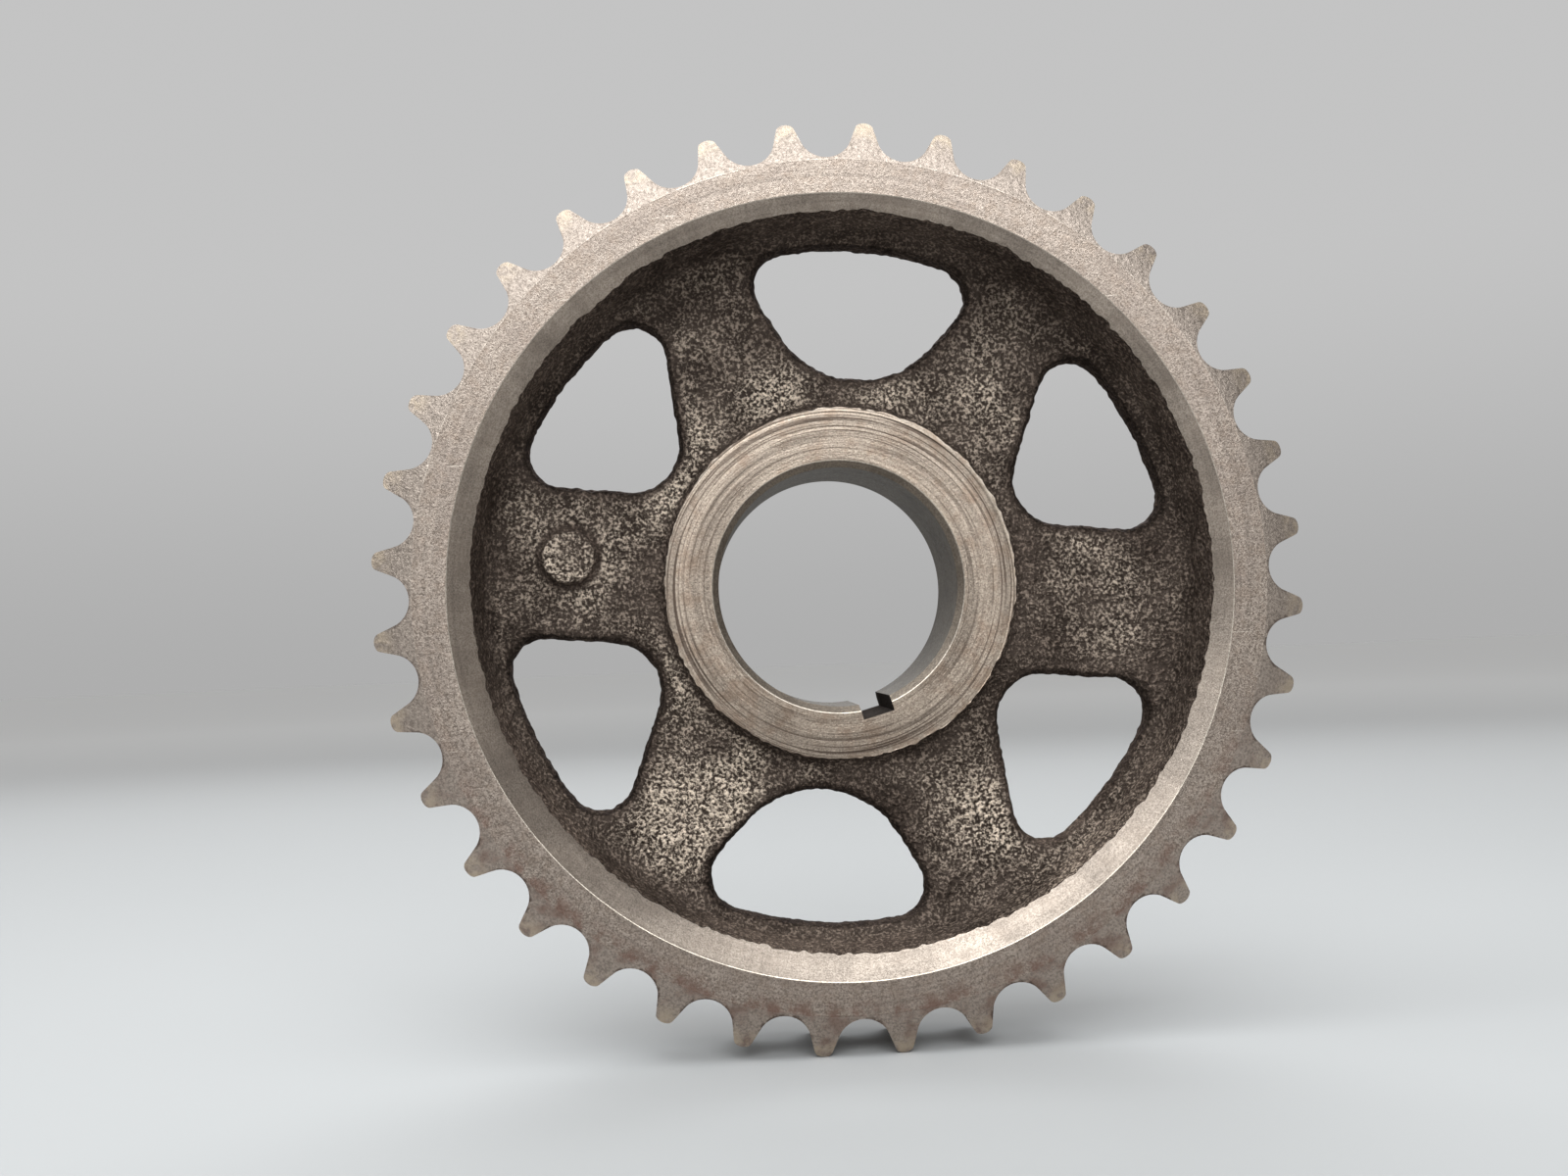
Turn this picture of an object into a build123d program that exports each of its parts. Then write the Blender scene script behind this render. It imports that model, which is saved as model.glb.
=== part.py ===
from build123d import *
from math import atan2, cos, degrees, pi, radians, sin, sqrt
import os

# Timing chain sprocket for a double row roller chain: one iron casting, machined on the
# rim, the teeth, the hub's faces and the bore.
#
# The wheel turns about Y. Its front face looks towards -Y, and +Z is up. The origin is in
# the middle of the bore. Lengths are in millimetres, and angles in degrees,
# counter-clockwise from +X as seen from the front.

# Chain and tooth form: roller chain of 3/8 inch pitch, ISO 606 number 06B-2
chain_pitch = 9.525
roller_dia = 6.35
row_spacing = 10.24  # between the middles of the two rows
tooth_count = 36
tooth_width = 5.2
tip_radius = 56.2
seat_radius = 0.505 * roller_dia
seat_half_angle = 68.75  # half of the roller seating angle
flank_radius = 75.0
tip_corner_radius = 0.45
relief_depth = 1.7  # how far a tooth's side has fallen away at its tip
relief_start_radius = 51.15
relief_bulge = 0.18  # how far the relief stands proud of a plain cone, midway
channel_radius = 49.4  # floor of the channel between the rows

# Hub
hub_length = 17.4
hub_recess = 8.6  # how far its front face lies behind the rim's
hub_radius = 21.95
hub_draft = 0.5
hub_front_fillet = 1.3
hub_rear_fillet = 3.0
bore_radius = 15.0
bore_chamfer = 0.8
key_width = 4.0
key_depth = 1.8  # below the bore's wall
key_angle = 285.0  # on the middle of a tooth

# Rim: flat turned faces, with a bevel inside the front one
front_face_inner_radius = 47.1
rear_face_inner_radius = 45.8
rim_wall_radius = 45.1  # cast inner wall, at the front face
rim_wall_draft = 0.9  # how much narrower the wall is where it meets the web
rim_wall_fillet = 2.4

# Web, cast, with six windows
web_recess = 10.3  # how far its front lies behind the rim's front face
web_thickness = 4.8
window_outer_radius = 42.8
window_edge_round = 2.2

# The cast surfaces sit a little off the turned ones, by the shift of the foundry core
core_shift = (0.3, 0, 0.5)
core_angle = -6.4  # of the two broad spokes, from +X

# Round pad cast on the left-hand broad spoke
pad_distance = 33.9
pad_angle = 171.5
pad_radius = 3.3
pad_height = 0.6
pad_round = 0.35

overrun = 1.0  # how far a cutting shape runs past the face that it cuts

# Places along Y, and the chain's pitch circle
hub_front = -hub_length / 2
hub_rear = hub_length / 2
front = hub_front - hub_recess
rear = front + row_spacing + tooth_width
web_front = front + web_recess
web_rear = web_front + web_thickness
pitch_radius = chain_pitch / (2 * sin(pi / tooth_count))


def polar(radius, angle):
    """The point at a distance from the origin and an angle in degrees."""
    return (radius * cos(radians(angle)), radius * sin(radians(angle)))


def row_outline(row_front, row_rear):
    """The turned side, tip and other side of one tooth row, from its front to its rear."""
    middle_radius = (relief_start_radius + tip_radius) / 2
    middle_depth = relief_depth / 2 - relief_bulge
    ThreePointArc(
        (relief_start_radius, row_front),
        (middle_radius, row_front + middle_depth),
        (tip_radius, row_front + relief_depth),
    )
    Line((tip_radius, row_front + relief_depth), (tip_radius, row_rear - relief_depth))
    ThreePointArc(
        (tip_radius, row_rear - relief_depth),
        (middle_radius, row_rear - middle_depth),
        (relief_start_radius, row_rear),
    )


def core_plane(height):
    """The plane across the axis at a height along Y, turned and shifted as the core is."""
    across = polar(1, core_angle)
    return Plane(
        origin=(core_shift[0], height, core_shift[2]),
        x_dir=(across[0], 0, across[1]),
        z_dir=(0, -1, 0),
    )


# Gap between two teeth, along +X: the roller's seat, then the two flanks. The corner that
# a flank makes with the tooth's tip is rounded.
seat_end = (
    pitch_radius - seat_radius * cos(radians(seat_half_angle)),
    seat_radius * sin(radians(seat_half_angle)),
)
flank_centre = (
    seat_end[0] - flank_radius * cos(radians(seat_half_angle)),
    seat_end[1] + flank_radius * sin(radians(seat_half_angle)),
)


def flank_half_gap(radius):
    """Half the width of the gap at a distance along it, out beyond the roller's seat."""
    return flank_centre[1] - sqrt(flank_radius**2 - (radius - flank_centre[0]) ** 2)


flank_top = tip_radius * cos(pi / tooth_count)
flank_middle = (seat_end[0] + flank_top) / 2
mouth = (tip_radius + overrun, flank_half_gap(flank_top) + 2 * overrun)

with BuildSketch() as gap:
    with BuildLine():
        ThreePointArc(
            (seat_end[0], -seat_end[1]),
            (pitch_radius - seat_radius, 0),
            seat_end,
        )
        for side in (1, -1):
            ThreePointArc(
                (seat_end[0], side * seat_end[1]),
                (flank_middle, side * flank_half_gap(flank_middle)),
                (flank_top, side * flank_half_gap(flank_top)),
            )
            Line((flank_top, side * flank_half_gap(flank_top)), (mouth[0], side * mouth[1]))
        Line((mouth[0], mouth[1]), (mouth[0], -mouth[1]))
    make_face()
    tip_corners = gap.vertices().filter_by(lambda corner: abs(corner.X - flank_top) < 0.001)
    fillet(tip_corners, radius=tip_corner_radius)

# Outlines of the windows, in the core's own axes: a triangular one in each quarter, and
# one at the top and one at the bottom between them.
side_low = 9.6  # half the width of a broad spoke
side_inner = (19.8, side_low)
side_outer = (sqrt(window_outer_radius**2 - side_low**2), side_low)
side_top_angle = 53.0
side_top = polar(window_outer_radius, side_top_angle)
side_middle_angle = (side_top_angle + degrees(atan2(side_low, side_outer[0]))) / 2
side_inner_round = 6.0
end_inner = (0, 18.5)
end_corner_angle = 67.7
end_right = polar(window_outer_radius, end_corner_angle)
end_left = polar(window_outer_radius, 180 - end_corner_angle)
end_inner_round = 12.0
outer_round = 4.2

with BuildSketch() as side_window:
    with BuildLine():
        Polyline(side_outer, side_inner, side_top)
        ThreePointArc(side_top, polar(window_outer_radius, side_middle_angle), side_outer)
    make_face()
    fillet(side_window.vertices().sort_by_distance(side_inner)[0], radius=side_inner_round)
    fillet(side_window.vertices().sort_by_distance(side_outer)[0], radius=outer_round)
    fillet(side_window.vertices().sort_by_distance(side_top)[0], radius=outer_round)
    mirror(about=Plane.YZ)
    mirror(about=Plane.XZ)

with BuildSketch() as end_window:
    with BuildLine():
        Polyline(end_left, end_inner, end_right)
        ThreePointArc(end_right, polar(window_outer_radius, 90), end_left)
    make_face()
    fillet(end_window.vertices().sort_by_distance(end_inner)[0], radius=end_inner_round)
    fillet(end_window.vertices().sort_by_distance(end_left)[0], radius=outer_round)
    fillet(end_window.vertices().sort_by_distance(end_right)[0], radius=outer_round)
    mirror(about=Plane.XZ)

with BuildPart() as sprocket:
    # Turned blank: both tooth rows, the channel between them, and the rear of the hub
    row_1_rear = front + tooth_width
    row_2_front = rear - tooth_width
    blank_hub_radius = hub_radius + hub_rear_fillet + overrun
    with BuildSketch(Plane.XY):
        with BuildLine():
            Line((0, front), (relief_start_radius, front))
            row_outline(front, row_1_rear)
            Polyline(
                (relief_start_radius, row_1_rear),
                (channel_radius, row_1_rear),
                (channel_radius, row_2_front),
                (relief_start_radius, row_2_front),
            )
            row_outline(row_2_front, rear)
            Polyline(
                (relief_start_radius, rear),
                (blank_hub_radius, rear),
                (blank_hub_radius, hub_rear),
                (0, hub_rear),
                (0, front),
            )
        make_face()
    revolve(axis=Axis.Y)

    # Teeth: each gap runs through both rows, so the rows are in step
    with BuildSketch(Plane.XZ.offset(-rear - overrun)):
        with PolarLocations(0, tooth_count):
            add(gap.sketch)
    extrude(amount=rear - front + 2 * overrun, mode=Mode.SUBTRACT)

    # Cast recess in front of the web, between the rim and the hub
    with BuildSketch(Plane(origin=core_shift)):
        with BuildLine():
            FilletPolyline(
                (0, front - overrun),
                (rim_wall_radius, front - overrun),
                (rim_wall_radius - rim_wall_draft, web_front),
                (hub_radius + hub_draft, web_front),
                (hub_radius, hub_front),
                (0, hub_front),
                radius=(0, 0, rim_wall_fillet, hub_front_fillet, 0, 0),
                close=True,
            )
        make_face()
    revolve(axis=Axis(core_shift, (0, 1, 0)), mode=Mode.SUBTRACT)

    # Cast recess behind the web, round the rear of the hub
    with BuildSketch(Plane(origin=core_shift)):
        with BuildLine():
            FilletPolyline(
                (rear_face_inner_radius, rear + overrun),
                (rear_face_inner_radius, web_rear),
                (hub_radius, web_rear),
                (hub_radius - hub_draft, hub_rear + overrun),
                (blank_hub_radius + overrun, hub_rear + overrun),
                (blank_hub_radius + overrun, rear + overrun),
                radius=(0, 0, hub_rear_fillet, 0, 0, 0),
                close=True,
            )
        make_face()
    revolve(axis=Axis(core_shift, (0, 1, 0)), mode=Mode.SUBTRACT)

    # Windows, with rounded edges on both sides of the web
    with BuildSketch(core_plane((web_front + web_rear) / 2)):
        add(side_window.sketch)
        add(end_window.sketch)
    extrude(amount=web_thickness, both=True, mode=Mode.SUBTRACT)
    window_edges = sprocket.edges(Select.LAST).filter_by(Axis.Y, reverse=True)
    fillet(window_edges, radius=window_edge_round)

    # Turned bevel inside the rim's front edge
    with BuildSketch(Plane.XY):
        with BuildLine():
            bevel_reach = 3 * rim_wall_draft + overrun
            Polyline(
                (front_face_inner_radius + overrun, front - overrun),
                (front_face_inner_radius - bevel_reach, front + bevel_reach),
                (front_face_inner_radius - bevel_reach, front - overrun),
                close=True,
            )
        make_face()
    revolve(axis=Axis.Y, mode=Mode.SUBTRACT)

    # Bore, with a chamfer at each end, and the keyway
    with BuildSketch(Plane.XZ.offset(-hub_rear)):
        Circle(bore_radius)
    extrude(amount=hub_length, mode=Mode.SUBTRACT)
    chamfer(sprocket.edges(Select.LAST).filter_by(GeomType.CIRCLE), length=bore_chamfer)
    with BuildSketch(Plane.XZ.offset(-hub_rear)):
        with PolarLocations(bore_radius + key_depth, 1, start_angle=key_angle):
            Rectangle(bore_radius, key_width, align=(Align.MAX, Align.CENTER))
    extrude(amount=hub_length, mode=Mode.SUBTRACT)

    # Round pad on the broad spoke
    with BuildSketch(Plane.XZ.offset(-web_front)):
        with Locations(polar(pad_distance, pad_angle)):
            Circle(pad_radius)
    extrude(amount=pad_height)
    pad_edge = sprocket.edges(Select.LAST).filter_by(GeomType.CIRCLE).sort_by(Axis.Y)[0]
    fillet(pad_edge, radius=pad_round)

sprocket.part.label = "sprocket"

os.makedirs("parts", exist_ok=True)
export_step(sprocket.part, "parts/sprocket.step")
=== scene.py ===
import math
import bpy
import numpy as np
from mathutils import Matrix, Vector


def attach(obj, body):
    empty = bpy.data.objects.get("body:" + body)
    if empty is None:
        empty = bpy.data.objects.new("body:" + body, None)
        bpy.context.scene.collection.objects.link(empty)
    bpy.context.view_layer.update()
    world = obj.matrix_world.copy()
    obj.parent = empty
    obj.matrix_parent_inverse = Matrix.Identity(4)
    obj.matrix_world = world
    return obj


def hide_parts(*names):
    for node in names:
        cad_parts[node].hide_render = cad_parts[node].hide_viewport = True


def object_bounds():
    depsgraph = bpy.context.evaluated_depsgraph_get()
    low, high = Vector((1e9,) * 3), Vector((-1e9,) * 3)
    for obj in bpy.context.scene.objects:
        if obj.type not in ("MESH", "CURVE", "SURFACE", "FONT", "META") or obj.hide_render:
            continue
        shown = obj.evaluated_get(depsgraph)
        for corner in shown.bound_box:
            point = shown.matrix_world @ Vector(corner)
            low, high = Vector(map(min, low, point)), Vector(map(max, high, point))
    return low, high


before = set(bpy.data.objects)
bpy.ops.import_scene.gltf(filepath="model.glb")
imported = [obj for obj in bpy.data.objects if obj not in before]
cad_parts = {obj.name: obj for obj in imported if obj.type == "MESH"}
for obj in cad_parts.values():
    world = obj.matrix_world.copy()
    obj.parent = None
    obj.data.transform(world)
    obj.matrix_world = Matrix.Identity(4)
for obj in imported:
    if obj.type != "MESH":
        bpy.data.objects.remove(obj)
cad_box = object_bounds()

# Timing chain sprocket. Lengths are in millimetres, in the CAD model's frame: the wheel
# turns about Y, its front faces -Y, +Z is up and the origin is in the middle of the bore.
# The mesh is made as the real part is: a rough casting, then cut to its machined envelope.
MM = 0.001

# Chain and tooth form
TOOTH_COUNT = 36
CHAIN_PITCH = 9.525
ROLLER_DIAMETER = 6.35
PITCH_RADIUS = CHAIN_PITCH / (2 * math.sin(math.pi / TOOTH_COUNT))
SEAT_RADIUS = 0.505 * ROLLER_DIAMETER
SEAT_HALF_ANGLE = math.radians(68.75)
FLANK_RADIUS = 75.0
TIP_RADIUS = 56.2
TIP_CORNER_RADIUS = 0.45
ROW_WIDTH = 5.2
ROW_SPACING = 10.24
RELIEF_START = 51.15
RELIEF_DEPTH = 1.7
RELIEF_BULGE = 0.18  # how far the teeth's sides stand proud of a plain cone, midway
CHANNEL_RADIUS = 49.4  # floor of the channel between the rows

# Hub
BORE_RADIUS = 15.0
BORE_CHAMFER = 0.8
HUB_RADIUS = 21.95
HUB_DRAFT = 0.5
HUB_FRONT = -8.7
HUB_REAR = 8.7
KEY_ANGLE = math.radians(285)
KEY_WIDTH = 4.0
KEY_DEPTH = 1.8
HUB_CORNER = 0.06  # reach of the worn corner at the bore's chamfer, each way

# Rim and web
FRONT = -17.3
REAR = FRONT + ROW_SPACING + ROW_WIDTH
FACE_INNER_RADIUS = 47.1
WORN_EDGE = 0.05  # reach of the worn corner between face and bevel, each way
REAR_INNER_RADIUS = 45.8
WALL_RADIUS = 45.1  # the rim's cast inner wall, at the front
WEB_FRONT = FRONT + 10.3
WEB_THICKNESS = 4.8
WEB_DISH = 0.8  # how much the web's front is hollowed midway between hub and rim
CORE = (0.3, 0.5)  # shift of the cast surfaces from the turned ones, along X and Z

# Wear of the cast skin, from 0 to 1, and places made bright, partly as wear and partly as painted
# highlight: angle in degrees, radius, reach, and how much brighter it is there
WEB_WEAR = 0.24
WALL_WEAR = 0.14
WEAR_AND_HIGHLIGHT_PLACES = (
    (234, 35.5, 7.0, 0.9),
    (240, 28.0, 5.0, 0.55),
    (301, 34.5, 6.5, 0.75),
    (106, 26.0, 4.0, 0.5),
    (124, 32.0, 5.0, 0.25),
    (133, 26.0, 4.0, 0.5),
    (150, 24.0, 4.5, 0.7),
    (166, 40.0, 4.0, 0.35),
    (208, 24.5, 4.5, 0.55),
    (72, 25.0, 4.0, 0.45),
    (52, 31.0, 6.0, 0.3),
    (173, 31.0, 6.0, 0.45),
    (10, 31.0, 4.5, 0.35),
    (-8, 33.0, 6.5, 0.25),
)
# A brighter place on the rim's cast wall, partly wear and partly painted glints
WALL_WEAR_AND_GLINT_PLACE = (308, 43.5, 13.0)  # on the rim's cast wall: angle, radius, reach

# Relief of the cast skin: height, size and seed of each kind of bump
SKIN_BUMPS = ((0.08, 5.0, 1), (0.05, 1.9, 2), (0.11, 0.95, 3), (0.13, 0.6, 4))
LUMPY_PLACE = (234, 34.5, 6.0)  # a rougher patch: angle, radius, reach
LUMPY_HEIGHT = 0.5
PAD_PLACE = (171.5, 33.9)  # the round pad: angle in degrees, distance from the axis
PAD_RADIUS = 3.3
PAD_CREST = 0.6  # how far the pad's height is brought back after the skin is softened

# Looks that more than one surface has
RUST = (0.17, 0.095, 0.072)
BROKEN_EDGE = (0.085, 0.060, 0.048)
TURNED_SHEEN = 0.3  # how far highlights are drawn out across the tool's rings

# Making the mesh
OVERRUN = 2  # how far a cutting shape runs past the faces that it cuts
VOXEL = 0.3
TURN_STEPS = 720


def add_object(name, points, faces):
    """A mesh object from points in millimetres and faces of point numbers."""
    mesh = bpy.data.meshes.new(name)
    mesh.from_pydata((np.asarray(points, float) * MM).tolist(), [], faces)
    mesh.update()
    obj = bpy.data.objects.new(name, mesh)
    bpy.context.scene.collection.objects.link(obj)
    return obj


def turned(name, profile, centre=(0, 0)):
    """A closed profile of (radius, y) points turned about Y, round a centre in X and Z."""
    profile = np.array(profile)
    count = len(profile)
    angles = np.arange(TURN_STEPS) * 2 * math.pi / TURN_STEPS
    x = np.outer(np.cos(angles), profile[:, 0]) + centre[0]
    z = np.outer(np.sin(angles), profile[:, 0]) + centre[1]
    y = np.broadcast_to(profile[:, 1], x.shape)
    points = np.stack([x, y, z], axis=-1).reshape(-1, 3)
    faces = []
    for i in range(TURN_STEPS):
        here, there = i * count, (i + 1) % TURN_STEPS * count
        for j in range(count):
            k = (j + 1) % count
            faces.append((here + j, here + k, there + k, there + j))
    return add_object(name, points, faces)


def prisms(name, outlines, low, high):
    """Outlines of (x, z) points, counter-clockwise from the front, drawn out along Y."""
    points, faces = [], []
    for outline in outlines:
        base, count = len(points), len(outline)
        points += [(x, low, z) for x, z in outline]
        points += [(x, high, z) for x, z in outline]
        faces.append(tuple(range(base, base + count)))
        faces.append(tuple(range(base + 2 * count - 1, base + count - 1, -1)))
        for i in range(count):
            k = (i + 1) % count
            faces.append((base + i, base + count + i, base + count + k, base + k))
    return add_object(name, points, faces)


def applied(obj):
    """Bakes an object's modifiers into its mesh."""
    bpy.context.view_layer.update()
    evaluated = obj.evaluated_get(bpy.context.evaluated_depsgraph_get())
    mesh = bpy.data.meshes.new_from_object(evaluated)
    obj.modifiers.clear()
    obj.data = mesh
    return obj


def cut(obj, tool, operation):
    """Boolean of obj with tool, which is then removed."""
    boolean = obj.modifiers.new("cut", "BOOLEAN")
    boolean.object = tool
    boolean.operation = operation
    boolean.solver = "MANIFOLD"
    boolean.material_mode = "TRANSFER"
    applied(obj)
    bpy.data.objects.remove(tool)
    return obj


def arc(centre, radius, start, end, steps):
    """Points on an arc between two angles in radians, both ends included."""
    angles = np.linspace(start, end, steps + 1)
    return [(centre[0] + radius * math.cos(a), centre[1] + radius * math.sin(a)) for a in angles]


def relief(front, rear):
    """One tooth row's turned outline from its front root to its rear root, as (radius, y)."""
    steps = 8
    reach = TIP_RADIUS - RELIEF_START
    side = []
    for i in range(steps + 1):
        t = i / steps
        fall = RELIEF_DEPTH * t - 4 * RELIEF_BULGE * t * (1 - t)
        side.append((RELIEF_START + reach * t, fall))
    there = [(r, front + fall) for r, fall in side]
    back = [(r, rear - fall) for r, fall in reversed(side)]
    return there + back


def gap_outline(angle):
    """Outline of the gap between two teeth: the roller's seat, then the two flanks, whose
    corners with the teeth's tips are rounded."""
    seat_end = PITCH_RADIUS - SEAT_RADIUS * math.cos(SEAT_HALF_ANGLE)
    half_seat = SEAT_RADIUS * math.sin(SEAT_HALF_ANGLE)
    flank_x = seat_end - FLANK_RADIUS * math.cos(SEAT_HALF_ANGLE)
    flank_z = half_seat + FLANK_RADIUS * math.sin(SEAT_HALF_ANGLE)

    def half_gap(x):
        return flank_z - math.sqrt(FLANK_RADIUS**2 - (x - flank_x) ** 2)

    top = TIP_RADIUS * math.cos(math.pi / TOOTH_COUNT)
    seat_start = math.pi - SEAT_HALF_ANGLE
    seat = arc((PITCH_RADIUS, 0), SEAT_RADIUS, seat_start, seat_start + 2 * SEAT_HALF_ANGLE, 16)
    flank = [(x, half_gap(x)) for x in np.linspace(seat_end, top - TIP_CORNER_RADIUS, 7)[1:]]
    corner = []
    for t in np.linspace(0, 1, 5)[1:]:
        x = top - TIP_CORNER_RADIUS * (1 - math.sin(t * math.pi / 2))
        z = half_gap(x) + 1.35 * TIP_CORNER_RADIUS * (1 - math.cos(t * math.pi / 2))
        corner.append((x, z))
    beyond_tips = 1.5
    upper = flank + corner + [(TIP_RADIUS + beyond_tips, corner[-1][1] + beyond_tips)]
    lower = [(x, -z) for x, z in upper]
    turn = np.array([[math.cos(angle), -math.sin(angle)], [math.sin(angle), math.cos(angle)]])
    return [tuple(turn @ np.array(p)) for p in upper[::-1] + seat[1:-1] + lower]


def value_noise(points, size, seed):
    """Smooth noise from -1 to 1 at points in millimetres, with cells of a size. Each cell's
    corners get their values by mixing the bits of their place, so they are the same each run."""
    cell = np.floor(points / size).astype(np.int64)
    t = points / size - cell
    t = t * t * (3 - 2 * t)
    total = np.zeros(len(points))
    for corner in range(8):
        offset = np.array([corner & 1, corner >> 1 & 1, corner >> 2 & 1])
        key = (cell + offset) @ np.array([73856093, 19349663, 83492791]) + seed * 2654435761
        key = (key ^ (key >> 15)) * 2246822519 & 0xFFFFFFFF
        key = (key ^ (key >> 13)) * 3266489917 & 0xFFFFFFFF
        random = (key ^ (key >> 16)) / 0xFFFFFFFF * 2 - 1
        weight = np.where(offset == 1, t, 1 - t).prod(axis=1)
        total += weight * random
    return total


def distance_from(points, angle, radius):
    """How far points are from a place on the web, seen along the axis."""
    x = radius * math.cos(math.radians(angle))
    z = radius * math.sin(math.radians(angle))
    return np.hypot(points[:, 0] - x, points[:, 2] - z)


def nearness(points, angle, radius, reach):
    """How near points are to a place on the web: 1 there, and fading out past its reach."""
    return np.exp(-((distance_from(points, angle, radius) / reach) ** 2))


def read_vectors(items, name):
    """One vector property of all the items, as an array."""
    values = np.zeros(len(items) * 3, np.float32)
    items.foreach_get(name, values)
    return values.reshape(-1, 3).astype(float)


def stock_rings():
    """The stock left on the rim and on the hub for the lathe, round the core's axis."""
    stock = 1.0
    rim = turned("rim_stock", [
        (WALL_RADIUS + 0.09, FRONT - stock), (WALL_RADIUS - 0.17, FRONT + 2.3),
        (WALL_RADIUS + 0.9, FRONT + 3.3), (WALL_RADIUS + 0.9, REAR - 1.2),
        (REAR_INNER_RADIUS + 0.05, REAR), (REAR_INNER_RADIUS + 0.05, REAR + stock),
        (TIP_RADIUS + 1.3, REAR + stock), (TIP_RADIUS + 1.3, FRONT - stock),
    ], CORE)
    hub = turned("hub_stock", [
        (BORE_RADIUS - 2, HUB_FRONT - stock), (HUB_RADIUS - 0.29, HUB_FRONT - stock),
        (HUB_RADIUS - 0.02, HUB_FRONT), (HUB_RADIUS - 0.6, HUB_FRONT + 0.6),
        (HUB_RADIUS - 0.6, HUB_REAR - 1.5), (HUB_RADIUS - HUB_DRAFT, HUB_REAR - 0.3),
        (HUB_RADIUS - HUB_DRAFT, HUB_REAR + stock), (BORE_RADIUS - 2, HUB_REAR + stock),
    ], CORE)
    return [rim, hub]


def softened(casting):
    """Joins the casting's shapes under one skin, with its corners rounded as in a mould."""
    remesh = casting.modifiers.new("skin", "REMESH")
    remesh.mode = "VOXEL"
    remesh.voxel_size = VOXEL * MM
    smooth = casting.modifiers.new("soften", "SMOOTH")
    smooth.factor = 0.5
    smooth.iterations = round(1.8 / VOXEL**2)
    return applied(casting)


def web_wear_and_painted_light(points, near_pad):
    """The web's level skin: its wear with painted highlights, from 0 to 1. The pad has a painted
    highlight on its crest and stands in a ring of painted shade."""
    wear_and_painted_light = sum(amount * nearness(points, angle, radius, reach)
               for angle, radius, reach, amount in WEAR_AND_HIGHLIGHT_PLACES)
    from_pad = distance_from(points, *PAD_PLACE)
    # Painted highlight on the pad's crest, and painted shade in a ring round its foot
    wear_and_painted_light = wear_and_painted_light + 0.3 * near_pad * np.exp(-(((from_pad - PAD_RADIUS + 0.5) / 0.5) ** 2))
    wear_and_painted_light = wear_and_painted_light - 0.8 * near_pad * np.exp(-(((from_pad - PAD_RADIUS - 0.4) / 0.4) ** 2))
    return np.clip(WEB_WEAR + wear_and_painted_light + 0.3 * value_noise(points, 4.0, 5), 0, 1)


def rough_casting():
    """The casting before machining: cast skin all over, with stock left on rim and hub. Its
    point attribute holds wear with painted highlights, and is below 0 on the windows' edges as painted
    shade."""
    casting = bpy.data.objects.new("casting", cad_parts["sprocket"].data.copy())
    bpy.context.scene.collection.objects.link(casting)
    shapes = [casting] + stock_rings()
    with bpy.context.temp_override(active_object=casting, selected_editable_objects=shapes):
        bpy.ops.object.join()
    mesh = softened(casting).data
    points = read_vectors(mesh.vertices, "co") / MM
    normals = read_vectors(mesh.vertex_normals, "vector")
    radius = np.hypot(points[:, 0] - CORE[0], points[:, 2] - CORE[1])
    level = np.clip(np.abs(normals[:, 1]) * 2.5 - 1.5, 0, 1)
    from_web = np.abs(points[:, 1] - WEB_FRONT)
    near_pad = (normals[:, 1] < -0.2) & (from_web < 1.5)

    # The web's front is hollowed, and the pad stands on it
    across = np.clip((radius - HUB_RADIUS) / (WALL_RADIUS - HUB_RADIUS), 0, 1)
    on_web = level * np.clip(1 - from_web / 2.0, 0, 1) * (normals[:, 1] < 0)
    points[:, 1] += WEB_DISH * on_web * np.sin(math.pi * across) ** 2
    inside_pad = PAD_RADIUS - distance_from(points, *PAD_PLACE)
    points[:, 1] -= PAD_CREST * near_pad * np.clip(inside_pad / 0.3 + 0.5, 0, 1)

    # Wear of level skin and of walls, with painted highlights. Edges that slope into the windows are
    # darker: painted shade
    wall_wear_and_glints = WALL_WEAR + 0.3 * nearness(points, *WALL_WEAR_AND_GLINT_PLACE)
    in_window = (points[:, 1] > WEB_FRONT) & (points[:, 1] < WEB_FRONT + WEB_THICKNESS)
    in_window &= (radius > HUB_RADIUS + 2) & (radius < WALL_RADIUS - 1.6)
    slope = np.clip((0.97 - np.abs(normals[:, 1])) / 0.35, 0, 1)
    wear_and_painted_light = level * web_wear_and_painted_light(points, near_pad) + (1 - level) * wall_wear_and_glints - 0.4 * slope * in_window
    attribute = mesh.attributes.new("wear_and_painted_light", "FLOAT", "POINT")
    attribute.data.foreach_set("value", wear_and_painted_light.astype(np.float32))

    lumpy = nearness(points, *LUMPY_PLACE) * level
    height = LUMPY_HEIGHT * lumpy * value_noise(points, 1.7, 6)
    for amount, size, seed in SKIN_BUMPS:
        height += amount * value_noise(points, size, seed)
    points += normals * height[:, None]
    mesh.vertices.foreach_set("co", (points * MM).astype(np.float32).ravel())
    mesh.update()
    return casting


def faced_hub(height, inward):
    """The hub's turned end face from its chamfer outwards, as (radius, y) points: shallow
    grooves at the tool's feed, uneven and a little deeper towards the outside."""
    feed = 0.38
    start = BORE_RADIUS + BORE_CHAMFER
    points = [(start - HUB_CORNER, height + inward * HUB_CORNER), (start + HUB_CORNER, height)]
    for i in range(int((HUB_RADIUS + 0.8 - start) / feed)):
        outside = i * feed / (HUB_RADIUS - start)
        uneven = 0.5 + 0.5 * math.sin(12.9 * i) * math.sin(5.3 * i + 1)
        depth = (0.012 + 0.034 * uneven) * (0.35 + 0.9 * outside)
        radius = start + 0.15 + i * feed
        points.append((radius, height))
        points.append((radius + feed * 0.45, height + inward * depth))
    return points


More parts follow.
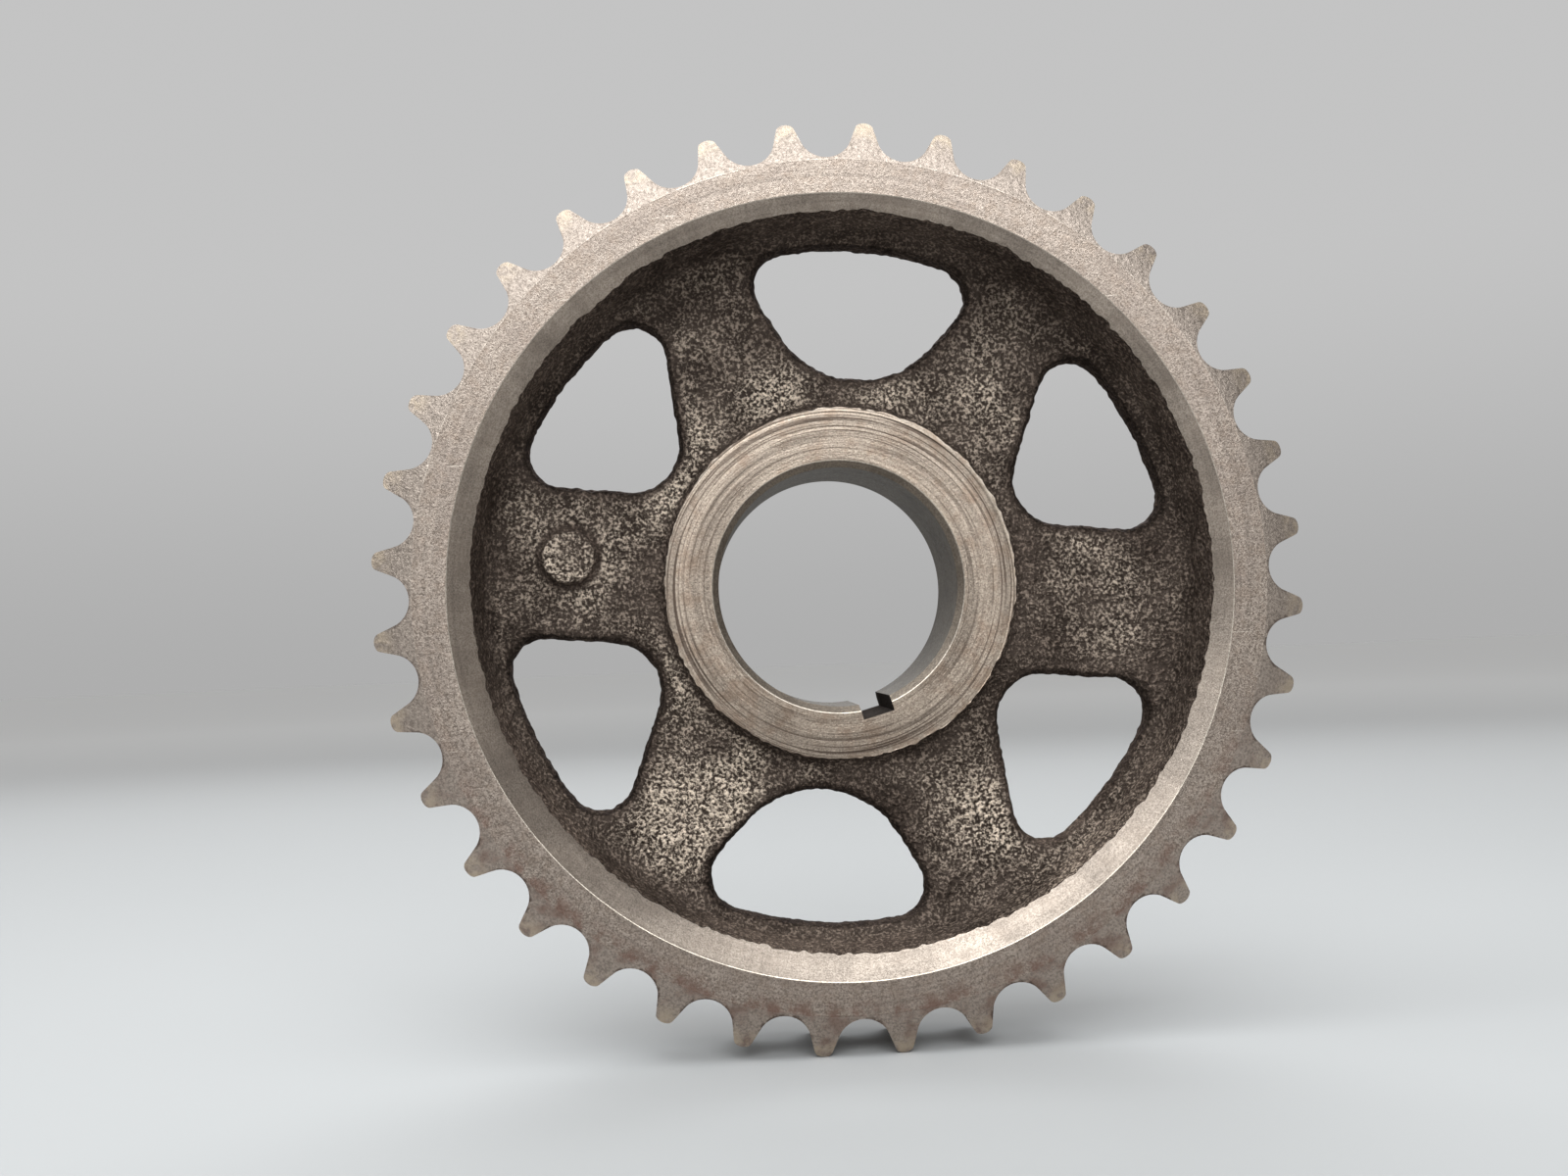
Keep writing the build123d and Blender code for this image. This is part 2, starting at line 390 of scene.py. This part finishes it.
def machined_envelope():
    """The space that the lathe, the hob and the broach leave."""
    row_1_rear = FRONT + ROW_WIDTH
    row_2_front = REAR - ROW_WIDTH
    bevel_end = 3.1  # how far behind the face the bevel's tool stops, clear of the web
    clear_of_hub = HUB_RADIUS + 4.55  # beyond the hub's fillets
    profile = [(BORE_RADIUS, HUB_FRONT + BORE_CHAMFER)]
    profile += faced_hub(HUB_FRONT, 1)
    profile += [
        (clear_of_hub, HUB_FRONT), (clear_of_hub, FRONT + bevel_end),
        (FACE_INNER_RADIUS - bevel_end, FRONT + bevel_end),
        (FACE_INNER_RADIUS - WORN_EDGE, FRONT + WORN_EDGE),
        (FACE_INNER_RADIUS + WORN_EDGE, FRONT),
    ]
    profile += relief(FRONT, row_1_rear)
    profile += [(CHANNEL_RADIUS, row_1_rear), (CHANNEL_RADIUS, row_2_front)]
    profile += relief(row_2_front, REAR)
    profile += [(clear_of_hub, REAR), (clear_of_hub, HUB_REAR)]
    profile += reversed(faced_hub(HUB_REAR, -1))
    profile += [(BORE_RADIUS, HUB_REAR - BORE_CHAMFER)]
    envelope = turned("envelope", profile)
    step = 2 * math.pi / TOOTH_COUNT
    gaps = [gap_outline(k * step) for k in range(TOOTH_COUNT)]
    cut(envelope, prisms("gaps", gaps, FRONT - OVERRUN, REAR + OVERRUN), "DIFFERENCE")
    along = np.array([math.cos(KEY_ANGLE), math.sin(KEY_ANGLE)])
    across = np.array([-along[1], along[0]]) * KEY_WIDTH / 2
    inner = (BORE_RADIUS - 5) * along
    outer = (BORE_RADIUS + KEY_DEPTH) * along
    keyway = [inner - across, outer - across, outer + across, inner + across]
    cut(envelope, prisms("keyway", [keyway], HUB_FRONT - OVERRUN, HUB_REAR + OVERRUN), "DIFFERENCE")
    return envelope


# The surfaces that faces are sorted into, numbered as their materials are in surface_materials
SKIN, FACE, SIDE, BEVEL, HUB, CORNER, CHAMFER, BORE, KEYWAY, FLANK = range(10)


def sorted_faces(mesh):
    """Which surface each face belongs to. Later lines take faces from earlier ones."""
    slots = np.zeros(len(mesh.polygons), np.int32)
    mesh.polygons.foreach_get("material_index", slots)
    machined = slots == mesh.materials.find("cut")
    centres = read_vectors(mesh.polygons, "center") / MM
    radii = np.hypot(centres[:, 0], centres[:, 2])
    y = centres[:, 1]
    sideways = np.abs(read_vectors(mesh.polygons, "normal")[:, 1])
    wall = sideways < 0.1
    chamfer_end = BORE_RADIUS + BORE_CHAMFER
    region = np.full(len(slots), SKIN)
    region[machined] = FACE
    region[machined & (radii > RELIEF_START)] = SIDE
    region[machined & (radii < HUB_RADIUS + 8)] = HUB
    region[machined & (radii < chamfer_end + HUB_CORNER) & (sideways < 0.99)] = CORNER
    region[machined & (radii < chamfer_end - HUB_CORNER) & (sideways < 0.9)] = CHAMFER
    region[machined & (radii < BORE_RADIUS + KEY_DEPTH + 0.4) & wall] = KEYWAY
    region[machined & (radii < BORE_RADIUS + 0.02) & wall] = BORE
    inside_face = (radii > WALL_RADIUS - 2) & (radii < FACE_INNER_RADIUS - WORN_EDGE)
    region[machined & inside_face & (y < REAR - 1)] = BEVEL
    at_edge = np.abs(radii - FACE_INNER_RADIUS) < WORN_EDGE
    region[machined & at_edge & (y < FRONT + 1)] = CORNER
    region[machined & (radii > CHANNEL_RADIUS - 1) & wall] = FLANK
    return region


def sharpen_borders(mesh, region):
    """Marks as sharp each edge between faces of different regions."""
    corners = np.zeros(len(mesh.loops), np.int32)
    mesh.loops.foreach_get("edge_index", corners)
    sizes = np.zeros(len(mesh.polygons), np.int32)
    mesh.polygons.foreach_get("loop_total", sizes)
    owner = np.repeat(region, sizes)
    lowest = np.full(len(mesh.edges), 99)
    highest = np.full(len(mesh.edges), -1)
    np.minimum.at(lowest, corners, owner)
    np.maximum.at(highest, corners, owner)
    sharp = np.zeros(len(mesh.edges), bool)
    mesh.attributes["sharp_edge"].data.foreach_get("value", sharp)
    sharp |= lowest != highest
    mesh.attributes["sharp_edge"].data.foreach_set("value", sharp)


# Materials. Each is worked out from the place on the part in millimetres, so the grain and
# the turning marks run on over edges. Sizes are in millimetres, and colours are linear.
def node(tree, kind, inputs=(), **settings):
    """A shader node. Inputs are (socket, value or output socket) pairs."""
    made = tree.nodes.new("ShaderNode" + kind)
    for name, value in settings.items():
        setattr(made, name, value)
    for socket, value in inputs:
        if isinstance(value, bpy.types.NodeSocket):
            tree.links.new(value, made.inputs[socket])
        else:
            made.inputs[socket].default_value = value
    return made


def maths(tree, operation, *values, clamp=False):
    """The result of a Math node."""
    made = node(tree, "Math", list(enumerate(values)), operation=operation, use_clamp=clamp)
    return made.outputs[0]


def spread(tree, value, low, high, start=0.0, end=1.0):
    """Value from low to high, taken smoothly to start and end."""
    made = node(tree, "MapRange", [("Value", value), ("From Min", low), ("From Max", high),
                                   ("To Min", start), ("To Max", end)],
                interpolation_type="SMOOTHSTEP")
    return made.outputs["Result"]


def mixed(tree, factor, first, second, blend="MIX"):
    """Two colours mixed. A colour is a tuple of three, or an output socket."""
    inputs = [(0, factor)]
    for socket, colour in ((6, first), (7, second)):
        inputs.append((socket, colour if isinstance(colour, bpy.types.NodeSocket) else (*colour, 1.0)))
    made = node(tree, "Mix", inputs, data_type="RGBA", blend_type=blend)
    return made.outputs[2]


def noise(tree, place, size, detail=2.0, roughness=0.5, w=None):
    """Noise from 0 to 1 whose features are about a size in millimetres."""
    inputs = [("Vector", place), ("Scale", 1 / size), ("Detail", detail), ("Roughness", roughness)]
    if w is not None:
        inputs.append(("W", w))
    made = node(tree, "TexNoise", inputs, noise_dimensions="3D" if w is None else "4D")
    return made.outputs["Fac"]


class Place:
    """Where a shaded point is: in millimetres, as a radius, and as a direction round Y."""

    def __init__(self, tree):
        coordinates = node(tree, "TexCoord").outputs["Object"]
        scaled = node(tree, "VectorMath", [(0, coordinates), ("Scale", 1 / MM)], operation="SCALE")
        self.point = scaled.outputs[0]
        parts = node(tree, "SeparateXYZ", [(0, self.point)]).outputs
        self.x, self.y, self.z = parts[0], parts[1], parts[2]
        flat = node(tree, "CombineXYZ", [(0, self.x), (2, self.z)]).outputs[0]
        self.radius = node(tree, "VectorMath", [(0, flat)], operation="LENGTH").outputs["Value"]
        self.direction = node(tree, "VectorMath", [(0, flat)], operation="NORMALIZE").outputs[0]


def surface(name, colour, roughness, metallic, bumps, anisotropic=0.0, specular=0.5, edge_tint=None):
    """A material. colour and roughness are built by functions of the tree and the place, and
    bumps gives heights in millimetres, coarse ones first."""
    material = bpy.data.materials.new(name)
    material.use_nodes = True
    tree = material.node_tree
    shader = tree.nodes["Principled BSDF"]
    place = Place(tree)
    tree.links.new(colour(tree, place), shader.inputs["Base Color"])
    tree.links.new(roughness(tree, place), shader.inputs["Roughness"])
    shader.inputs["Metallic"].default_value = metallic
    shader.inputs["Specular IOR Level"].default_value = specular
    if edge_tint:
        shader.inputs["Specular Tint"].default_value = (*edge_tint, 1.0)
    normal = None
    for height in bumps(tree, place):
        inputs = [("Height", height), ("Distance", MM), ("Strength", 1.0)]
        if normal is not None:
            inputs.append(("Normal", normal))
        normal = node(tree, "Bump", inputs).outputs[0]
    tree.links.new(normal, shader.inputs["Normal"])
    if anisotropic:
        shader.inputs["Anisotropic"].default_value = anisotropic
        tangent = node(tree, "Tangent", direction_type="RADIAL", axis="Y").outputs[0]
        tree.links.new(tangent, shader.inputs["Tangent"])
    return material


def rings(tree, place, feed):
    """The tool's rings: noise that follows the radius and hardly changes round the part."""
    return noise(tree, place.direction, 1.2, 2.0, 0.55, maths(tree, "DIVIDE", place.radius, feed))


def times(tree, colour, factor):
    """A colour made lighter or darker by a factor."""
    grey = node(tree, "CombineXYZ", [(0, factor), (1, factor), (2, factor)]).outputs[0]
    return mixed(tree, 1.0, colour, grey, "MULTIPLY")


def patches(tree, place, size, low, high, amount=1.0):
    """Patches of a size: from 0 between them to an amount inside them."""
    return spread(tree, noise(tree, place.point, size, 4.0, 0.6), low, high, 0.0, amount)


def product(tree, *factors):
    """All the factors multiplied."""
    result = factors[0]
    for factor in factors[1:]:
        result = maths(tree, "MULTIPLY", result, factor)
    return result


def speckled(tree, place, light, dark, size=0.2):
    """Machined iron close up: light metal between dark flecks of graphite."""
    flecks = spread(tree, noise(tree, place.point, size, 3.0, 0.65), 0.34, 0.62)
    return mixed(tree, flecks, dark, light)


def uneven(size, low, high):
    """A roughness that wanders between two values, with features of a size."""
    def roughness(tree, place):
        return spread(tree, noise(tree, place.point, size), 0.3, 0.7, low, high)

    return roughness


def grain(tree, place, size, height):
    """Fine bumps of a size and a height."""
    return maths(tree, "MULTIPLY", noise(tree, place.point, size, 3.0, 0.7), height)


def turned_bumps(feed, ring_height, grain_height):
    """The bumps of a turned surface: the tool's rings, then fine grain."""
    def bumps(tree, place):
        tool_rings = maths(tree, "MULTIPLY", rings(tree, place, feed), ring_height)
        return [tool_rings, grain(tree, place, 0.22, grain_height)]

    return bumps


def cast_skin():
    """Dark foundry skin, grain by grain. The tops of the grains are bright where wear or painted
    highlights are given, and the skin is darker where shade is painted.
    """
    edge_softness = 0.18  # between a grain's bright top and the dark round it

    def grains(tree, place):
        fine = maths(tree, "MULTIPLY", noise(tree, place.point, 0.38, 3.0, 0.6), 0.82)
        return maths(tree, "MULTIPLY_ADD", noise(tree, place.point, 1.2, 2.0), 0.18, fine)

    def wear_and_painted_light_amount(tree):
        return node(tree, "Attribute", attribute_name="wear_and_painted_light").outputs["Fac"]

    def colour(tree, place):
        wear_and_painted_light = wear_and_painted_light_amount(tree)
        broad = spread(tree, noise(tree, place.point, 5.0, 3.0), 0.35, 0.65)
        dark = mixed(tree, broad, (0.045, 0.0335, 0.027), (0.074, 0.056, 0.0455))
        dull = mixed(tree, broad, (0.165, 0.124, 0.100), (0.23, 0.176, 0.142))
        light = mixed(tree, spread(tree, wear_and_painted_light, 0.0, 1.0), dull, (0.80, 0.665, 0.53))
        start = spread(tree, wear_and_painted_light, 0.0, 1.0, 0.47, 0.43)
        tops = spread(tree, grains(tree, place), start, maths(tree, "ADD", start, edge_softness))
        body = mixed(tree, tops, dark, light)
        # Painted shade: where the attribute is below 0, on the windows' edges, the skin is darkened
        return times(tree, body, spread(tree, wear_and_painted_light, -0.3, 0.0, 0.4, 1.0))

    def roughness(tree, place):
        polish = spread(tree, wear_and_painted_light_amount(tree), 0.0, 0.6, 0.24, 0.0)
        return maths(tree, "ADD", uneven(0.5, 0.3, 0.48)(tree, place), polish)

    def bumps(tree, place):
        lumps = node(tree, "TexVoronoi", [("Vector", place.point), ("Scale", 1 / 0.7)],
                     feature="SMOOTH_F1").outputs["Distance"]
        return [maths(tree, "MULTIPLY", lumps, -0.5),
                maths(tree, "MULTIPLY", grains(tree, place), 0.6)]

    return surface("cast_skin", colour, roughness, 0.6, bumps,
                   specular=0.15, edge_tint=(0.42, 0.34, 0.28))


def scratches(tree, place, turn, amount):
    """Fine straight scratches across the wheel's face, in one direction."""
    stretch = (0.12, 0.4, 2.6)  # long one way and thin the other
    turned_place = node(tree, "Mapping", [("Vector", place.point), ("Rotation", (0, turn, 0)),
                                          ("Scale", stretch)]).outputs[0]
    return spread(tree, noise(tree, turned_place, 0.8, 2.0), 0.70, 0.77, 0.0, amount)


def gap_edge(tree, place):
    """Distance in millimetres from the nearest gap's round root, measured outside the gap."""
    angle = maths(tree, "ARCTAN2", place.z, place.x)
    half_step = math.pi / TOOTH_COUNT
    folded = maths(tree, "WRAP", angle, half_step, -half_step)
    along = product(tree, place.radius, maths(tree, "COSINE", folded))
    from_pitch = maths(tree, "SUBTRACT", along, PITCH_RADIUS)
    across = product(tree, place.radius, maths(tree, "SINE", folded))
    offset = node(tree, "CombineXYZ", [(0, from_pitch), (1, across)]).outputs[0]
    distance = node(tree, "VectorMath", [(0, offset)], operation="LENGTH").outputs["Value"]
    return maths(tree, "SUBTRACT", distance, SEAT_RADIUS)


def crumbled(tree, place):
    """Where a gap's edge has broken away: ragged, in places, and more of it low down."""
    ragged = maths(tree, "ADD", gap_edge(tree, place), patches(tree, place, 0.7, 0.3, 0.7, 0.4))
    return product(tree, spread(tree, ragged, 0.22, 0.5, 1.0, 0.0),
                   patches(tree, place, 7.0, 0.38, 0.54, 0.85),
                   spread(tree, place.z, -30.0, 30.0, 1.0, 0.3))


def stains(tree, place, low, high, amount):
    """Rust stains, in patches on the wheel's lower half."""
    low_down = spread(tree, place.z, -8.0, -36.0)
    return product(tree, low_down, patches(tree, place, 2.4, low, high, amount))


def turned_face():
    """The rim's flat face: fine even brown-grey with faint rings and a few scratches, rusty
    stains low down between the teeth, and crumbled roots."""
    def colour(tree, place):
        body = speckled(tree, place, (0.405, 0.337, 0.284), (0.19, 0.152, 0.124))
        body = mixed(tree, patches(tree, place, 5.0, 0.4, 0.7, 0.4), body, (0.225, 0.18, 0.152))
        body = mixed(tree, patches(tree, place, 1.3, 0.45, 0.65, 0.3), body, (0.25, 0.185, 0.14))
        body = times(tree, body, spread(tree, rings(tree, place, 0.4), 0.3, 0.7, 0.86, 1.08))
        body = mixed(tree, scratches(tree, place, 0.9, 0.45), body, (0.62, 0.54, 0.46))
        body = mixed(tree, scratches(tree, place, -0.5, 0.4), body, (0.12, 0.098, 0.08))
        near_roots = spread(tree, place.radius, 48.6, 51.0)
        stained = product(tree, near_roots, stains(tree, place, 0.42, 0.64, 0.75))
        body = mixed(tree, stained, body, RUST)
        return mixed(tree, crumbled(tree, place), body, BROKEN_EDGE)

    return surface("turned_face", colour, uneven(0.4, 0.33, 0.48), 0.9,
                   turned_bumps(0.4, 0.012, 0.045), TURNED_SHEEN)


def tooth_side():
    """The teeth's turned sides: coarser, with a bright line where they start, partly burr and partly
    painted highlight, and rubbed tips.
    """
    def colour(tree, place):
        body = speckled(tree, place, (0.375, 0.313, 0.265), (0.225, 0.185, 0.155), 0.3)
        body = mixed(tree, stains(tree, place, 0.44, 0.66, 0.6), body, RUST)
        near_tips = spread(tree, place.radius, 53.2, 55.6)
        rubbed = product(tree, near_tips, patches(tree, place, 1.6, 0.38, 0.58, 0.8))
        body = mixed(tree, rubbed, body, (0.46, 0.375, 0.285))
        # Bright line where the sides start: partly a burr, partly painted highlight, fading out low
        # down
        ragged = maths(tree, "MULTIPLY_ADD", noise(tree, place.point, 0.8, 3.0), 0.25, place.radius)
        burr_and_highlight = product(tree, spread(tree, ragged, RELIEF_START + 0.16, RELIEF_START + 0.3, 1.0, 0.0),
                       patches(tree, place, 3.0, 0.44, 0.6, 0.6),
                       spread(tree, place.z, -12.0, 16.0))
        body = mixed(tree, burr_and_highlight, body, (0.60, 0.52, 0.44))
        return mixed(tree, crumbled(tree, place), body, BROKEN_EDGE)

    def bumps(tree, place):
        coarse = noise(tree, place.point, 0.9, 2.0)
        return [maths(tree, "MULTIPLY", coarse, 0.10), grain(tree, place, 0.25, 0.07)]

    return surface("tooth_side", colour, uneven(0.5, 0.32, 0.50), 0.9, bumps, TURNED_SHEEN)


def turned_bevel():
    """The bevel inside the rim: smoother and greyer, with faint marks across it."""
    def colour(tree, place):
        body = speckled(tree, place, (0.43, 0.363, 0.305), (0.255, 0.21, 0.172))
        body = mixed(tree, patches(tree, place, 4.0, 0.4, 0.7, 0.5), body, (0.27, 0.22, 0.18))
        broad = noise(tree, place.point, 9.0, 3.0, 0.6)
        body = times(tree, body, spread(tree, broad, 0.35, 0.65, 0.86, 1.16))
        chatter = noise(tree, place.direction, 0.012, 2.0, 0.6)
        body = times(tree, body, spread(tree, chatter, 0.3, 0.7, 0.92, 1.05))
        return times(tree, body, spread(tree, rings(tree, place, 0.35), 0.3, 0.7, 0.88, 1.06))

    return surface("turned_bevel", colour, uneven(0.5, 0.30, 0.44), 0.9,
                   turned_bumps(0.35, 0.010, 0.03), TURNED_SHEEN)


def turned_hub():
    """The hub's end faces: tan iron with dark grooves, deepest near the outside, and a
    painted highlight on the outer edge high up."""
    outer_edge = math.hypot(HUB_RADIUS - 0.28, HUB_REAR)  # from the middle of the core

    def colour(tree, place):
        body = speckled(tree, place, (0.46, 0.378, 0.302), (0.275, 0.22, 0.175))
        body = mixed(tree, patches(tree, place, 2.6, 0.45, 0.7, 0.6), body, (0.26, 0.178, 0.125))
        bands = spread(tree, rings(tree, place, 1.3), 0.38, 0.62)
        body = mixed(tree, bands, times(tree, body, 0.74), times(tree, body, 1.12))
        lines = spread(tree, rings(tree, place, 0.24), 0.42, 0.5, 1.0, 0.0)
        outside = spread(tree, place.radius, 18.4, 20.2, 0.0, 0.4)
        amount = maths(tree, "ADD", spread(tree, bands, 0.0, 1.0, 0.55, 0.25), outside, clamp=True)
        body = mixed(tree, product(tree, lines, amount), body, (0.085, 0.060, 0.046))
        from_core = node(tree, "VectorMath", [(0, place.point), (1, (CORE[0], 0, CORE[1]))],
                         operation="DISTANCE").outputs["Value"]
        # Painted highlight: the outer edge is made lighter in patches, high up only
        painted_edge_highlight = product(tree, spread(tree, from_core, outer_edge - 0.1, outer_edge + 0.1),
                       patches(tree, place, 2.0, 0.4, 0.6, 0.5),
                       spread(tree, place.z, -4.0, 12.0))
        return mixed(tree, painted_edge_highlight, body, (0.62, 0.54, 0.45))

    return surface("turned_hub", colour, uneven(0.4, 0.30, 0.46), 0.9,
                   turned_bumps(0.3, 0.045, 0.05), TURNED_SHEEN)


def plain_cut(name, light, dark, feed, shine, metallic=0.9, specular=0.5):
    """A bored, broached or hobbed wall, or a turned corner: plain iron with faint rings."""
    def colour(tree, place):
        body = speckled(tree, place, light, dark, 0.25)
        dull = tuple(0.5 * c for c in light)
        body = mixed(tree, patches(tree, place, 3.0, 0.45, 0.7, 0.6), body, dull)
        along = noise(tree, place.direction, 1.5, 3.0, 0.7, maths(tree, "DIVIDE", place.y, feed))
        return times(tree, body, spread(tree, along, 0.3, 0.7, 0.84, 1.08))

    def bumps(tree, place):
        return [grain(tree, place, 0.3, 0.04)]

    return surface(name, colour, uneven(0.4, shine, shine + 0.14), metallic, bumps,
                   TURNED_SHEEN, specular)


def surface_materials():
    """The materials, in the order of the surfaces' numbers."""
    return (
        cast_skin(), turned_face(), tooth_side(), turned_bevel(), turned_hub(),
        plain_cut("worn_corner", (0.58, 0.51, 0.43), (0.36, 0.31, 0.255), 0.3, 0.32),
        plain_cut("bore_chamfer", (0.30, 0.25, 0.20), (0.19, 0.157, 0.127), 0.3, 0.4),
        # Painted shade: the bore's wall is given dark iron with little reflection
        plain_cut("bored_wall", (0.145, 0.124, 0.10), (0.085, 0.072, 0.058), 0.3, 0.48,
                  metallic=0.25, specular=0.05),
        # Painted shade: the keyway is given nearly black iron without reflection
        plain_cut("keyway", (0.062, 0.052, 0.046), (0.024, 0.020, 0.018), 0.5, 0.6,
                  metallic=0.0, specular=0.0),
        plain_cut("tooth_flank", (0.34, 0.285, 0.235), (0.15, 0.125, 0.10), 0.4, 0.33),
    )


# The part
casting = rough_casting()
envelope = machined_envelope()
for shape, material_name in ((casting, "skin"), (envelope, "cut")):
    shape.data.materials.clear()
    shape.data.materials.append(bpy.data.materials.new(material_name))
sprocket = cut(casting, envelope, "INTERSECT")
sprocket.name = "sprocket_body"
mesh = sprocket.data
region = sorted_faces(mesh)
mesh.materials.clear()
for material in surface_materials():
    mesh.materials.append(material)
mesh.polygons.foreach_set("material_index", region.astype(np.int32))
mesh.polygons.foreach_set("use_smooth", np.ones(len(region), bool))
mesh.set_sharp_from_angle(angle=math.radians(30))
sharpen_borders(mesh, region)
mesh.update()
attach(sprocket, "root")
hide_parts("sprocket")

# Floor: pale paint, darker near the wheel and paler away from it: painted light that evens out the
# lamps' pool and the dimmer floor far off
FLOOR_HALF = 4000
floor_level = cad_box[0].z / MM
floor_signs = ((-1, -1), (1, -1), (1, 1), (-1, 1))
floor_corners = [(FLOOR_HALF * x, FLOOR_HALF * y, floor_level) for x, y in floor_signs]
floor = add_object("floor", floor_corners, [(0, 1, 2, 3)])
paint = bpy.data.materials.new("floor_paint")
paint.use_nodes = True
paint_tree = paint.node_tree
paint_shader = paint_tree.nodes["Principled BSDF"]
spot = Place(paint_tree)
level_spot = node(paint_tree, "CombineXYZ", [(0, spot.x), (1, spot.y)]).outputs[0]
away = node(paint_tree, "VectorMath", [(0, level_spot)], operation="LENGTH").outputs["Value"]
distant = spread(paint_tree, away, 150, 1200)
floor_colour_with_painted_light = mixed(paint_tree, distant, (0.37, 0.37, 0.366), (0.93, 0.93, 0.92))
paint_tree.links.new(floor_colour_with_painted_light, paint_shader.inputs["Base Color"])
paint_shader.inputs["Roughness"].default_value = 0.75
floor.data.materials.append(paint)

# Camera: in front of the wheel, a little left and low, and turned a little about all axes
camera = bpy.data.objects.new("camera", bpy.data.cameras.new("camera"))
bpy.context.scene.collection.objects.link(camera)
camera.data.sensor_width = 36
camera.data.lens = 34.875
right = Vector((0.99784, -0.05075, -0.04182)).normalized()
up = Vector((0.03970, -0.04212, 0.99832))
up = (up - right * up.dot(right)).normalized()
camera.matrix_world = Matrix((right, up, right.cross(up))).transposed().to_4x4()
camera.location = Vector((-16.79, -197.44, -7.52)) * MM
camera.data.clip_start = 0.01
bpy.context.scene.camera = camera

# Studio: pale all round, darker in front and just above the horizon, and soft lights
world = bpy.data.worlds.new("studio")
bpy.context.scene.world = world
world.use_nodes = True
sky = world.node_tree
direction = node(sky, "SeparateXYZ", [(0, node(sky, "TexCoord").outputs["Generated"])]).outputs
front_to_back = spread(sky, direction[1], -0.6, 0.8, 0.36, 0.55)
horizon_up = spread(sky, direction[2], -0.02, 0.25, 0.423, 0.55)
radiance = maths(sky, "MINIMUM", front_to_back, horizon_up)
sky.links.new(radiance, sky.nodes["Background"].inputs[0])


def softbox(name, place, size, power):
    """A cool area light with a grid, at a place in millimetres and turned to the wheel."""
    light = bpy.data.lights.new(name, "AREA")
    light.shape = "RECTANGLE"
    light.size, light.size_y = size[0] * MM, size[1] * MM
    light.energy = power
    light.color = (0.93, 0.97, 1.0)
    light.spread = math.radians(100)
    lamp = bpy.data.objects.new(name, light)
    bpy.context.scene.collection.objects.link(lamp)
    lamp.location = Vector(place) * MM
    lamp.visible_camera = False
    lamp.rotation_euler = (-Vector(place)).to_track_quat("-Z", "Y").to_euler()


softbox("overhead", (-90, -200, 560), (1000, 500), 1.9)
softbox("front_top", (-20, -520, 330), (700, 240), 1.15)
softbox("back_top", (60, 560, 420), (700, 300), 1.0)
softbox("left_top", (-520, -60, 340), (300, 300), 0.32)
bpy.context.scene.view_settings.view_transform = "Standard"
